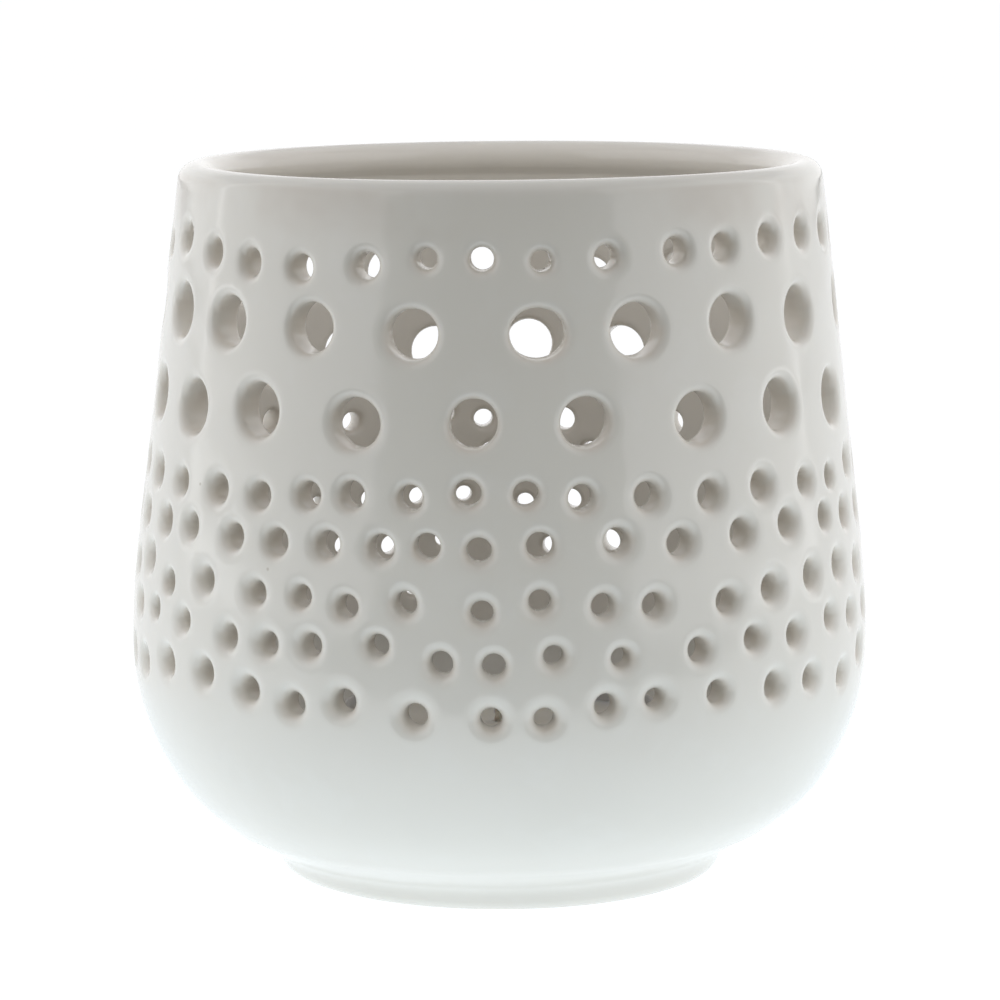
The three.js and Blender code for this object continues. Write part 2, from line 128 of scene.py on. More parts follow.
def spline(xs, ys):
    """Natural cubic spline through the points."""
    xs, ys = np.asarray(xs, float), np.asarray(ys, float)
    n = len(xs)
    h = np.diff(xs)
    a = np.zeros((n, n))
    b = np.zeros(n)
    a[0, 0] = a[-1, -1] = 1.0
    for i in range(1, n - 1):
        a[i, i - 1], a[i, i], a[i, i + 1] = h[i - 1], 2 * (h[i - 1] + h[i]), h[i]
        b[i] = 6 * ((ys[i + 1] - ys[i]) / h[i] - (ys[i] - ys[i - 1]) / h[i - 1])
    m = np.linalg.solve(a, b)

    def at(x):
        x = np.asarray(x, float)
        i = np.clip(np.searchsorted(xs, x) - 1, 0, n - 2)
        t, u = x - xs[i], xs[i + 1] - x
        return (
            m[i] * u**3 / (6 * h[i]) + m[i + 1] * t**3 / (6 * h[i])
            + (ys[i] / h[i] - m[i] * h[i] / 6) * u + (ys[i + 1] / h[i] - m[i + 1] * h[i] / 6) * t
        )

    return at


_out = spline([z for z, _ in OUTSIDE], [r for _, r in OUTSIDE])


def smooth(t):
    t = np.clip(t, 0, 1)
    return t * t * (3 - 2 * t)


def r_out(z):
    return _out(z)


def r_in(z):
    z = np.asarray(z, float)
    return _out(z) - 4.0 + 0.35 * smooth((z - 79.6) / 2.8)


def along(points, step):
    """Points (radius, height) spaced about step apart along a smooth curve through the given ones."""
    p = np.array(points, float)
    s = np.r_[0, np.cumsum(np.hypot(*np.diff(p, axis=0).T))]
    fr, fz = spline(s, p[:, 0]), spline(s, p[:, 1])
    t = np.linspace(0, s[-1], max(2, int(round(s[-1] / step)) + 1))
    return list(zip(fr(t), fz(t)))


class Mesh:
    def __init__(self):
        self.co, self.faces, self.n = [], [], 0

    def add(self, points):
        points = np.asarray(points, float).reshape(-1, 3)
        ids = np.arange(self.n, self.n + len(points))
        self.co.append(points)
        self.n += len(points)
        return ids

    def quads(self, a, b, closed=True):
        """Faces between two rings of the same size, facing right when a lies before b."""
        k = len(a)
        for i in range(k if closed else k - 1):
            j = (i + 1) % k
            self.faces.append((int(a[i]), int(a[j]), int(b[j]), int(b[i])))


def turned(theta, r, z):
    """Bearing 0 is the front (-Y) and grows to the right (+X)."""
    theta = np.asarray(theta, float)
    return np.stack([r * np.sin(theta), -r * np.cos(theta), z * np.ones_like(theta)], -1)


def holes():
    out = []
    for k, row in enumerate(HOLE_ROWS):
        for bearing, z, a in row:
            large = a > LARGE_FROM
            # glaze pooled in the lower rows: a tighter throat in a broader, softer dimple
            a = a - 0.2 if k > 4 else a
            out.append({"t": math.radians(bearing), "z": z, "a": a, "large": large, "n": 40 if large else 24,
                        "ro": 1.1 if large else (1.2, 0, 0, 1.35, 1.35, 1.6, 1.6, 1.6)[k], "ri": 0.75 if not large else 0.8,
                        "oval": rng.normal(0, 0.018), "turn": rng.uniform(0, math.pi)})
    # Where two mouths come close, both rounds shrink.
    for i, h in enumerate(out):
        for g in out[:i]:
            dt = (h["t"] - g["t"] + math.pi) % (2 * math.pi) - math.pi
            for key, rad, gap in (("ro", 44.0, 0.55), ("ri", 40.2, 0.45)):
                d = math.hypot(dt * rad, h["z"] - g["z"])
                over = h["a"] + g["a"] + h[key] + g[key] + gap - d
                if over > 0:
                    h[key] -= over / 2
                    g[key] -= over / 2
    for h in out:
        h["ro"], h["ri"] = max(h["ro"], 0.25), max(h["ri"], 0.25)
    return out


HOLES = holes()


def mouth(h, radius):
    """The outline (along the wall, up) of a hole at a radius from its axis."""
    t = 2 * math.pi * np.arange(h["n"]) / h["n"]
    rad = radius * (1 + h["oval"] * np.cos(2 * (t - h["turn"])))
    return rad * np.cos(t), rad * np.sin(t)


def sheet(mesh, radius_at, ref, key, ring_lo, ring_hi, top, outward):
    """One side of the wall between two rings, triangulated round every hole mouth. Returns each hole's mouth ids."""
    span = math.radians(195)
    pts, hole_id = [], []      # canonical points (bearing, height) and the hole whose mouth they are on
    mouths = []
    for i, h in enumerate(HOLES):
        u, v = mouth(h, h["a"] + h[key])
        z = h["z"] + v
        t = h["t"] + np.arcsin(u / radius_at(z))
        mouths.append((len(pts), t, z))
        pts += list(zip(t, z))
        hole_id += [i] * h["n"]
    centres = np.array([(h["t"], h["z"], h["a"] + h[key]) for h in HOLES])

    def clear_of_mouths(t, z, gap, skip=-1):
        dt = (centres[:, 0] - t + math.pi) % (2 * math.pi) - math.pi
        d = np.hypot(dt * ref, centres[:, 1] - z) - centres[:, 2]
        if skip >= 0:
            d[skip] = 9
        return d.min() > gap

    cell = {}

    def free(t, z, gap):
        x = (t % (2 * math.pi)) * ref
        cx, cz = int(x // 1.0), int(z // 1.0)
        wide = int(2 * math.pi * ref // 1.0) + 1
        for i in (-1, 0, 1):
            for j in (-1, 0, 1):
                for (px, pz) in cell.get(((cx + i) % wide, cz + j), ()):
                    dx = abs(px - x)
                    dx = min(dx, 2 * math.pi * ref - dx)
                    if math.hypot(dx, pz - z) < gap:
                        return False
        cell.setdefault((cx, cz), []).append((x, z))
        return True

    # a looser ring of points round each mouth grades the triangles out into the plain wall
    for i, h in enumerate(HOLES):
        n = h["n"] * 2 // 3
        t = 2 * math.pi * (np.arange(n) + 0.5) / n
        rad = h["a"] + h[key] + 0.62
        for u, v in zip(rad * np.cos(t), rad * np.sin(t)):
            z = h["z"] + v
            b = h["t"] + math.asin(u / float(radius_at(z)))
            if SHEET_LO + 0.8 < z < top - 0.8 and clear_of_mouths(b, z, 0.34, i) and free(b, z, 0.5):
                pts.append((b, z))
                hole_id.append(-1)
    rows = int(round((top - SHEET_LO) / 1.42))
    for j in range(1, rows):
        z = SHEET_LO + (top - SHEET_LO) * j / rows
        for k in range(AROUND):
            t = math.radians((k + 0.5 * (j % 2)) * 360 / AROUND - 180) + rng.normal(0, 0.0006)
            zz = z + rng.normal(0, 0.02)
            if clear_of_mouths(t, zz, 0.95) and free(t, zz, 0.95):
                pts.append((t, zz))
                hole_id.append(-1)
    first_ring = len(pts)
    for z in (SHEET_LO, top):
        for k in range(AROUND):
            pts.append((math.radians(k * 360 / AROUND - 180), z))
            hole_id.append(-1)

    # lay the canonical points out flat, with a margin past the seam at the back on both sides
    flat, canon, edges = [], [], []
    for start, t, z in mouths:
        n = len(t)
        mid = float(np.mean(t))
        for turn in (-2 * math.pi, 0, 2 * math.pi):
            if abs(mid + turn) < span:
                base = len(flat)
                flat += [((a + turn) * ref, b) for a, b in zip(t, z)]
                canon += list(range(start, start + n))
                edges += [(base + q, base + (q + 1) % n) for q in range(n)]
    for i in range(len(pts)):
        if hole_id[i] < 0:
            for turn in (-2 * math.pi, 0, 2 * math.pi):
                if abs(pts[i][0] + turn) < span:
                    flat.append(((pts[i][0] + turn) * ref, pts[i][1]))
                    canon.append(i)
    res = delaunay_2d_cdt([Vector(p) for p in flat], edges, [], 0, 1e-7, True)
    source = [canon[o[0]] for o in res[3]]
    where = np.array([(p[0], p[1]) for p in res[0]])
    hole_of = np.array(hole_id)
    ring = np.array(pts)
    ids = np.full(len(pts), -1)
    inner = ring[:first_ring]
    ids[:first_ring] = mesh.add(turned(inner[:, 0], radius_at(inner[:, 1]), inner[:, 1]))
    ids[first_ring:first_ring + AROUND] = ring_lo
    ids[first_ring + AROUND:] = ring_hi
    for f in res[2]:
        if len(f) != 3:
            continue
        c = where[list(f)]
        mid = c[:, 0].mean() / ref
        if not (-math.pi <= mid < math.pi):
            continue
        s = [source[v] for v in f]
        if hole_of[s[0]] >= 0 and hole_of[s[0]] == hole_of[s[1]] == hole_of[s[2]]:
            continue
        if len(set(s)) < 3:
            continue
        area = (c[1, 0] - c[0, 0]) * (c[2, 1] - c[0, 1]) - (c[2, 0] - c[0, 0]) * (c[1, 1] - c[0, 1])
        tri = [int(ids[v]) for v in s]
        if (area > 0) != outward:
            tri.reverse()
        mesh.faces.append(tuple(tri))
    return [ids[start:start + len(t)] for start, t, z in mouths]


def vessel():
    mesh = Mesh()
    theta = np.radians(np.arange(AROUND) * 360 / AROUND - 180)
    # --- turned rings, from the underside's centre round the outside and over the rim to the floor's centre
    under = [(6.0, 1.34), (12.0, 1.30), (17.0, 1.24), (20.2, 1.16), (21.2, 0.98), (21.75, 0.60), (22.1, 0.22), (22.5, 0.03),
             (23.2, 0.0), (24.4, 0.0), (25.4, 0.0), (25.9, 0.04), (26.35, 0.22), (26.75, 0.55), (27.02, 1.0), (27.16, 1.45),
             (27.34, 1.92), (27.62, 2.36), (28.0, 2.76), (28.5, 3.14), (29.15, 3.53), (29.98, 4.0), (31.0, 4.6), (32.3, 5.36)]
    z_low = 6.1
    flank = []
    z = z_low
    while z < SHEET_LO - 0.5:
        flank.append((float(r_out(z)), z))
        slope = float(r_out(z + 0.1) - r_out(z)) / 0.1
        z += 1.25 / math.sqrt(1 + slope * slope)
    outer_rings = under + flank
    arc = np.linspace(math.radians(7.0), math.radians(225.0), 27)
    top = [(float(r_out(SHEET_HI + 0.85)), SHEET_HI + 0.85)]
    below = [(35.40, 82.97), (35.50, 82.86), (35.60, 82.72)]        # the bead of the rim overhangs the wall a little
    rim = [(RIM_R + RIM_ROUND * math.cos(a), RIM_Z + RIM_ROUND * math.sin(a)) for a in arc]
    bowl = along([(float(r_in(SHEET_LO)), SHEET_LO), (39.35, 19.0), (37.4, 15.4), (34.4, 11.9), (31.0, 9.0), (27.6, 6.75),
                  (24.8, 5.6), (22.3, 5.22)], 1.35)[1:]
    floor = [(21.0, 5.2), (19.0, 5.2), (15.5, 5.2), (11.5, 5.2), (7.5, 5.2), (3.8, 5.2)]

    def rings(list_, n=AROUND):
        return [mesh.add(turned(theta, r, z)) for r, z in list_]

    a = rings(outer_rings)
    lo_out = mesh.add(turned(theta, float(r_out(SHEET_LO)), SHEET_LO))
    hi_out = mesh.add(turned(theta, float(r_out(SHEET_HI)), SHEET_HI))
    b = rings(top + rim + below)
    hi_in = mesh.add(turned(theta, float(r_in(SHEET_HI_IN)), SHEET_HI_IN))
    lo_in = mesh.add(turned(theta, float(r_in(SHEET_LO)), SHEET_LO))
    c = rings(bowl + floor)
    chain = a + [lo_out]
    for p, q in zip(chain[:-1], chain[1:]):
        mesh.quads(p, q)
    chain = [hi_out] + b + [hi_in]
    for p, q in zip(chain[:-1], chain[1:]):
        mesh.quads(p, q)
    chain = [lo_in] + c
    for p, q in zip(chain[:-1], chain[1:]):
        mesh.quads(p, q)
    hub = mesh.add([[0, 0, 1.36]])[0]
    for i in range(AROUND):
        mesh.faces.append((int(hub), int(a[0][(i + 1) % AROUND]), int(a[0][i])))
    hub = mesh.add([[0, 0, 5.2]])[0]
    for i in range(AROUND):
        mesh.faces.append((int(hub), int(c[-1][i]), int(c[-1][(i + 1) % AROUND])))

    # --- the two pierced sheets and the bores between them
    out_ids = sheet(mesh, r_out, 44.0, "ro", lo_out, hi_out, SHEET_HI, True)
    in_ids = sheet(mesh, r_in, 40.2, "ri", lo_in, hi_in, SHEET_HI_IN, False)
    soft = []                              # (ids, how far round the lip, 0 flat wall to 1 throat)
    for h, first, last in zip(HOLES, out_ids, in_ids):
        across = np.array([math.cos(h["t"]), math.sin(h["t"]), 0])
        along_ = np.array([math.sin(h["t"]), -math.cos(h["t"]), 0])
        levels = [("o", math.radians(q)) for q in (22, 45, 67, 90)] + [("i", math.radians(q)) for q in (90, 60, 30)]
        prev = first
        soft.append((first, 0.25))
        for side, q in levels:
            big = h["ro"] if side == "o" else h["ri"]
            u, v = mouth(h, h["a"] + big * (1 - math.sin(q)))
            z = h["z"] + v
            deep = big * (1 - math.cos(q))
            wall = r_out(z) if side == "o" else r_in(z)
            s = np.sqrt(wall**2 - u**2) + (-deep if side == "o" else deep)
            ids = mesh.add(s[:, None] * along_ + u[:, None] * across + z[:, None] * np.array([0, 0, 1]))
            n = len(ids)
            for k in range(n):
                j = (k + 1) % n
                mesh.faces.append((int(prev[k]), int(prev[j]), int(ids[j]), int(ids[k])))
            soft.append((ids, math.sin(q)))
            prev = ids
        n = len(last)
        for k in range(n):
            j = (k + 1) % n
            mesh.faces.append((int(prev[k]), int(prev[j]), int(last[j]), int(last[k])))
        soft.append((last, 0.25))

    co = np.concatenate(mesh.co)
    lip = np.zeros(len(co))
    for ids, value in soft:
        lip[ids] = np.maximum(lip[ids], value)
    # --- the hand's small departures from a true round: a slow waviness, a rim and a foot line not quite level
    t = np.arctan2(co[:, 0], -co[:, 1])
    r = np.hypot(co[:, 0], co[:, 1])
    z = co[:, 2]
    body = smooth((z - 5.0) / 14.0)
    wave = body * (0.07 * np.sin(2 * t + 0.7) + 0.05 * np.sin(3 * t - 1.1 + z * 0.05) + 0.025 * np.sin(5 * t + z * 0.11)
                   + 0.02 * np.sin(z * 0.62 + 1.5 * np.sin(t)))
    r2 = r + wave * smooth(r / 20.0)
    lift = 0.0070 * co[:, 0] * smooth((z - 62.0) / 24.0) + 0.030 * np.sin(3 * t + 0.5) * smooth((z - 82.0) / 4.0)
    lift += 0.0085 * co[:, 0] * smooth(z / 3.4) * (1 - smooth((z - 4.5) / 9.0)) * smooth((r - 24.0) / 3.0)
    co[:, 0], co[:, 1], co[:, 2] = r2 * np.sin(t), -r2 * np.cos(t), z + lift
    bare = ((z < 0.06) & (r > 22.3) & (r < 26.0)).astype(float)
    glaze_edge = lip.copy()
    # a darker tone over the rim's crest, and painted shade over the band of outer wall just under the rim, where the
    # wall turns upward
    rim_tone_and_shade = np.exp(-(((r - 36.9) / 1.3) ** 2)) * smooth((z - 86.2) / 0.6)
    rim_tone_and_shade = np.maximum(rim_tone_and_shade, 0.9 * smooth((z - 79.0) / 4.0) * (1 - smooth((z - 85.6) / 0.5)) * smooth((r - 38.4) / 0.5))
    # how deep inside the wall and bowl a point lies; the inside gets a painted lighter, warmer tone
    depth = np.where(z > 22, r_out(np.clip(z, 22, 84.9)) - r, np.where(r > 38.5, 0, z - np.interp(r, [0, 22, 31, 38.5], [3.2, 3.4, 7.0, 16.0])))
    inside = smooth((depth - 2.4) / 1.0)
    return co * MM, mesh.faces, glaze_edge, bare, rim_tone_and_shade, inside


def new_mesh(name, co, faces, attributes=()):
    me = bpy.data.meshes.new(name)
    me.from_pydata([tuple(p) for p in co], [], faces)
    me.validate()
    for label, values in attributes:
        att = me.attributes.new(label, "FLOAT", "POINT")
        att.data.foreach_set("value", np.asarray(values, np.float32))
    me.polygons.foreach_set("use_smooth", np.ones(len(me.polygons), bool))
    me.update()
    o = bpy.data.objects.new(name, me)
    scene.collection.objects.link(o)
    return o


# ---------------------------------------------------------------------------------------------- tealight, sizes in mm
FLOOR_TOP = 5.2
CUP_FOOT = FLOOR_TOP + 0.02
WAX_TOP = 17.2
WICK_TOP = 24.1


def lathe(name, profile, n=128, wobble=None):
    """A closed turned solid from a profile of (radius, height) that starts and ends on the axis or closes on itself."""
    mesh = Mesh()
    theta = np.radians(np.arange(n) * 360 / n)
    rings = []
    for r, z in profile:
        if r < 1e-6:
            rings.append(mesh.add([[0, 0, z]]))
        else:
            zz = np.full(n, float(z))
            rr = np.full(n, float(r))
            if wobble is not None:
                rr, zz = wobble(theta, rr, zz)
            rings.append(mesh.add(np.stack([rr * np.sin(theta), -rr * np.cos(theta), zz], -1)))
    pairs = list(zip(rings[:-1], rings[1:]))
    if len(rings[0]) > 1:
        pairs.append((rings[-1], rings[0]))
    for a, b in pairs:
        if len(a) == 1:
            for i in range(n):
                mesh.faces.append((int(a[0]), int(b[(i + 1) % n]), int(b[i])))
        elif len(b) == 1:
            for i in range(n):
                mesh.faces.append((int(a[i]), int(a[(i + 1) % n]), int(b[0])))
        else:
            mesh.quads(a, b)
    return new_mesh(name, np.concatenate(mesh.co) * MM, mesh.faces)


def rounded(points, radius, steps=5):
    """The polyline with each inner corner rounded."""
    out = [points[0]]
    for a, b, c in zip(points[:-2], points[1:-1], points[2:]):
        a, b, c = map(np.array, (a, b, c))
        u, v = a - b, c - b
        cut = min(radius, 0.45 * np.linalg.norm(u), 0.45 * np.linalg.norm(v))
        p, q = b + u / np.linalg.norm(u) * cut, b + v / np.linalg.norm(v) * cut
        for k in range(steps + 1):
            t = k / steps
            out.append(tuple((1 - t) ** 2 * p + 2 * t * (1 - t) * b + t * t * q))
    out.append(points[-1])
    return out


def pressed_cup():
    z0, wall = CUP_FOOT, 0.22
    # from the axis under the cup, out and up the outside, over the rolled lip, down the inside and back to the axis
    outside = rounded([(0, z0 + 0.35), (8.5, z0 + 0.35), (9.3, z0 + 0.75), (12.6, z0 + 0.75), (13.4, z0), (17.9, z0),
                       (18.55, z0 + 1.5), (18.62, z0 + 3.2), (18.86, z0 + 3.7), (18.92, z0 + 12.4), (18.98, z0 + 13.75)], 0.7)
    roll = [(19.2 + 0.30 * math.cos(a), z0 + 14.15 + 0.30 * math.sin(a)) for a in np.radians(np.linspace(-118, 150, 14))]
    inside = rounded([(18.76, z0 + 13.7), (18.70, z0 + 12.4), (18.64, z0 + 3.8), (18.40, z0 + 3.3), (18.33, z0 + 1.6),
                      (17.7, z0 + wall), (13.5, z0 + wall), (12.7, z0 + 0.75 + wall), (9.2, z0 + 0.75 + wall),
                      (8.4, z0 + 0.35 + wall), (0, z0 + 0.35 + wall)], 0.6)

    def wobble(t, r, z):
        # draw marks of the press: faint flutes that fade towards the foot, and a lip that is not quite round
        up = smooth((z - z0 - 2.0) / 10.0) * smooth((r - 17.0) / 1.5)
        return r + up * (0.035 * np.sin(36 * t + 0.8 * np.sin(3 * t)) + 0.05 * np.sin(2 * t + 0.4)), z

    return lathe("pressed_cup", outside + roll + inside, 216, wobble)


def wax_fill():
    z0 = CUP_FOOT
    low = z0 + 1.0
    outer = rounded([(7.2, low), (17.6, low), (18.26, low + 1.3), (18.55, low + 3.2), (18.62, WAX_TOP - 0.3), (18.66, WAX_TOP + 0.32)], 0.5)
    top = [(r, WAX_TOP + 0.30 * math.exp(-(18.66 - r) / 0.55) + 0.42 * math.exp(-(r - 0.86) / 0.7)
            - 0.32 * math.exp(-((r - 5.5) / 3.4) ** 2) + 0.05 * math.sin(r * 1.3))
           for r in [18.4, 18.1, 17.7, 17.2, 16.4, 15.4, 14.2, 13, 11.8, 10.6, 9.4, 8.2, 7.1, 6.1, 5.2, 4.4, 3.7, 3.0, 2.4, 1.9, 1.5,
                     1.2, 1.0]]
    channel = [(0.88, WAX_TOP + 0.2), (0.86, WAX_TOP - 1.0), (0.86, z0 + 4.4), (1.95, z0 + 4.3), (1.98, z0 + 1.6), (7.1, z0 + 1.5)]

    def wobble(t, r, z):
        near = smooth((z - WAX_TOP + 0.8) / 0.6)
        dz = near * (0.06 * np.sin(2 * t + 0.9 + 0.3 * r) * smooth((r - 2) / 6) + 0.05 * np.sin(5 * t + 0.7 * r) * smooth((r - 3) / 8)
                     * smooth((18 - r) / 2))
        return r, z + dz

    return lathe("wax_fill", outer + top + channel, 168, wobble)


def sustainer():
    z0 = CUP_FOOT + 0.62
    profile = rounded([(0.86, z0), (5.9, z0), (6.45, z0 + 0.22), (6.45, z0 + 0.48), (6.1, z0 + 0.34), (2.4, z0 + 0.34), (1.72, z0 + 0.8),
                       (1.55, z0 + 3.0), (1.25, z0 + 3.35), (0.86, z0 + 3.35)], 0.28, 4)

    def wobble(t, r, z):
        # the collar is crimped flat on two sides to grip the wick; the disc carries four shallow ribs
        crimp = smooth((z - z0 - 1.2) / 0.8) * smooth((z0 + 3.3 - z) / 0.7) * smooth((2.2 - r) / 0.5) * (r > 1.0)
        rib = 0.10 * np.maximum(0, np.cos(2 * t)) ** 6 * smooth((r - 2.6) / 0.6) * smooth((6.0 - r) / 0.6)
        return r - 0.28 * crimp * np.cos(2 * t) ** 2, z + rib

    return lathe("crimped_sustainer", profile, 144, wobble)


def tube(path, radius, sides=12):
    """A closed tube with rounded ends along points in mm."""
    path = np.array(path, float)
    tangent = np.gradient(path, axis=0)
    tangent /= np.linalg.norm(tangent, axis=1)[:, None]
    normal = np.array([1.0, 0, 0])
    rings, n = [], len(path)
    radius = np.broadcast_to(np.asarray(radius, float), n)
    mesh = Mesh()
    for i in range(n):
        normal = normal - tangent[i] * normal.dot(tangent[i])
        normal /= np.linalg.norm(normal)
        side = np.cross(tangent[i], normal)
        a = 2 * math.pi * np.arange(sides) / sides
        rings.append(mesh.add(path[i] + radius[i] * (np.cos(a)[:, None] * normal + np.sin(a)[:, None] * side)))
    for p, q in zip(rings[:-1], rings[1:]):
        mesh.quads(p, q)
    first = mesh.add(path[:1] - tangent[:1] * radius[0] * 0.4)[0]
    last = mesh.add(path[-1:] + tangent[-1:] * radius[-1] * 0.4)[0]
    for i in range(sides):
        j = (i + 1) % sides
        mesh.faces.append((int(first), int(rings[0][j]), int(rings[0][i])))
        mesh.faces.append((int(last), int(rings[-1][i]), int(rings[-1][j])))
    return mesh


def braided_wick():
    z0 = CUP_FOOT + 0.9
    length = WICK_TOP - z0
    co, faces, base = [], [], 0

    def centre(t):
        bend = smooth((t - 0.68) / 0.32)
        return np.stack([0.75 * bend**1.5, -0.35 * bend, z0 + t * length - 0.25 * bend], -1)

    steps = 150
    t = np.linspace(0, 1, steps)
    for k in range(3):
        phase = 2 * math.pi * k / 3
        turn = 2 * math.pi * t * length / 3.4 + phase
        path = centre(t)
        path[:, 0] += 0.36 * np.sin(turn)
        path[:, 1] += 0.22 * np.sin(2 * turn)
        m = tube(path, 0.36 * (1 - 0.25 * smooth((t - 0.95) / 0.05)), 12)
        co.append(np.concatenate(m.co))
        faces += [tuple(v + base for v in f) for f in m.faces]
        base += m.n
    for k in range(14):
        # loose fibres at the cut end
        a = rng.uniform(0, 2 * math.pi)
        s = np.linspace(0, 1, 7)
        start = centre(np.array([0.985]))[0] + [0.3 * math.cos(a), 0.3 * math.sin(a), 0]
        lean = rng.uniform(0.05, 0.5)
        path = start + np.stack([lean * np.cos(a) * s**2, lean * np.sin(a) * s**2, s * rng.uniform(0.35, 0.8)], -1)
        m = tube(path, 0.035 * (1 - 0.7 * s), 5)
        co.append(np.concatenate(m.co))
        faces += [tuple(v + base for v in f) for f in m.faces]
        base += m.n
    return new_mesh("braided_wick", np.concatenate(co) * MM, faces)


# ------------------------------------------------------------------------------------------------------- materials
def material(name):
    m = bpy.data.materials.new(name)
    m.use_nodes = True
    nt = m.node_tree
    nt.nodes.clear()
    out = nt.nodes.new("ShaderNodeOutputMaterial")
    bsdf = nt.nodes.new("ShaderNodeBsdfPrincipled")
    nt.links.new(bsdf.outputs[0], out.inputs[0])
    return m, nt, bsdf


def node(nt, kind, inputs=(), **settings):
    n = nt.nodes.new(kind)
    for k, v in settings.items():
        setattr(n, k, v)
    for k, v in dict(inputs).items():
        if hasattr(v, "is_output"):
            nt.links.new(v, n.inputs[k])
        else:
            n.inputs[k].default_value = v
    return n


def mix(nt, factor, a, b):
    n = nt.nodes.new("ShaderNodeMix")
    n.data_type = "RGBA"
    for s, v in ((n.inputs[0], factor), (n.inputs[6], a), (n.inputs[7], b)):
        if hasattr(v, "is_output"):
            nt.links.new(v, s)
        else:
            s.default_value = v
    return n.outputs[2]


def math_(nt, op, a, b=None, c=None):
    n = nt.nodes.new("ShaderNodeMath")
    n.operation = op
    for s, v in zip(n.inputs, (a, b, c)):
        if v is None:
            continue
        if hasattr(v, "is_output"):
            nt.links.new(v, s)
        else:
            s.default_value = v
    return n.outputs[0]


def ramp(nt, value, lo, hi, a=0.0, b=1.0):
    n = nt.nodes.new("ShaderNodeMapRange")
    n.interpolation_type = "SMOOTHSTEP"
    nt.links.new(value, n.inputs[0])
    for s, v in zip(n.inputs[1:5], (lo, hi, a, b)):
        s.default_value = v
    return n.outputs[0]


def attribute(nt, name):
    return node(nt, "ShaderNodeAttribute", attribute_name=name).outputs["Fac"]


def noise(nt, where, scale, detail=2.0, rough=0.5, distortion=0.0):
    n = node(nt, "ShaderNodeTexNoise", {"Scale": scale, "Detail": detail, "Roughness": rough, "Distortion": distortion})
    nt.links.new(where, n.inputs["Vector"])
    return n.outputs["Fac"]


def bump(nt, height, strength, distance, normal=None):
    n = node(nt, "ShaderNodeBump", {"Strength": strength, "Distance": distance})
    nt.links.new(height, n.inputs["Height"])
    if normal is not None:
        nt.links.new(normal, n.inputs["Normal"])
    return n.outputs[0]


def object_space(nt, scale=(1, 1, 1)):
    c = node(nt, "ShaderNodeTexCoord").outputs["Object"]
    m = node(nt, "ShaderNodeMapping", {"Scale": scale})
    nt.links.new(c, m.inputs[0])
    return m.outputs[0]


def white_glaze():
    m, nt, b = material("milky_white_glaze")
    p = object_space(nt)
    lip, bare, rim = attribute(nt, "lip"), attribute(nt, "bare"), attribute(nt, "rim_tone_and_shade")
    # milky glaze: a slow drift of tone, faint clouds where it pooled, thinner and warmer over every edge
    slow = noise(nt, p, 34, 2)
    cloud = noise(nt, p, 150, 3, 0.55, 0.4)
    body = mix(nt, ramp(nt, slow, 0.35, 0.65), GLAZE_A, GLAZE_B)
    body = mix(nt, ramp(nt, cloud, 0.50, 0.76, 0.0, 0.55), body, GLAZE_POOL)
    # painted light: the inside is painted lighter and warmer than the same glaze outside, standing in for light
    # bouncing round the interior
    body = mix(nt, attribute(nt, "inside"), body, INSIDE_PAINTED_LIGHT)
    thin = math_(nt, "MULTIPLY", ramp(nt, lip, 0.2, 1.0), ramp(nt, noise(nt, p, 420, 2), 0.3, 0.7, 0.35, 0.9))
    body = mix(nt, thin, body, GLAZE_THIN)
    # painted shade, broken into patches by noise: the darker tone over the rim's crest and the band of outer wall just
    # under it
    body = mix(nt, math_(nt, "MULTIPLY", rim, ramp(nt, noise(nt, p, 60, 3), 0.40, 0.62, 0.1, 1.0)), body, RIM_TONE_AND_SHADE)
    # a few pin-sized iron specks, as in any stoneware clay
    speck = node(nt, "ShaderNodeTexVoronoi", {"Scale": 115.0}, feature="F1")
    nt.links.new(p, speck.inputs["Vector"])
    few = node(nt, "ShaderNodeSeparateColor")
    nt.links.new(speck.outputs["Color"], few.inputs[0])
    dot = math_(nt, "MULTIPLY", ramp(nt, speck.outputs["Distance"], 0.030, 0.014), ramp(nt, few.outputs[0], 0.93, 0.95))
    body = mix(nt, math_(nt, "MULTIPLY", dot, 0.45), body, (0.33, 0.27, 0.2, 1))
    clay = mix(nt, ramp(nt, noise(nt, p, 900, 3), 0.3, 0.7), (0.62, 0.55, 0.46, 1), (0.50, 0.43, 0.35, 1))
    nt.links.new(mix(nt, bare, body, clay), b.inputs["Base Color"])
    rough = ramp(nt, noise(nt, p, 60, 3), 0.3, 0.7, 0.10, 0.17)
    rough = math_(nt, "ADD", rough, math_(nt, "MULTIPLY", lip, 0.06))
    rough = math_(nt, "ADD", rough, math_(nt, "MULTIPLY", bare, 0.62))
    nt.links.new(rough, b.inputs["Roughness"])
    b.inputs["IOR"].default_value = 1.60
    b.inputs["Subsurface Weight"].default_value = 0.06
    b.inputs["Subsurface Radius"].default_value = (1.0, 0.9, 0.75)
    b.inputs["Subsurface Scale"].default_value = 0.0012
    # soft orange-peel of the glaze over the slow unevenness of a hand-finished wall
    peel = bump(nt, noise(nt, p, 520, 2), 0.10, 0.00010)
    slow_b = bump(nt, noise(nt, p, 85, 1), 0.24, 0.0006, peel)
    slow_b = bump(nt, noise(nt, p, 230, 1), 0.14, 0.0002, slow_b)
    pit = bump(nt, math_(nt, "MULTIPLY", ramp(nt, noise(nt, p, 2600, 2), 0.68, 0.80), -1.0), 0.10, 0.00004, slow_b)
    nt.links.new(pit, b.inputs["Normal"])
    return m


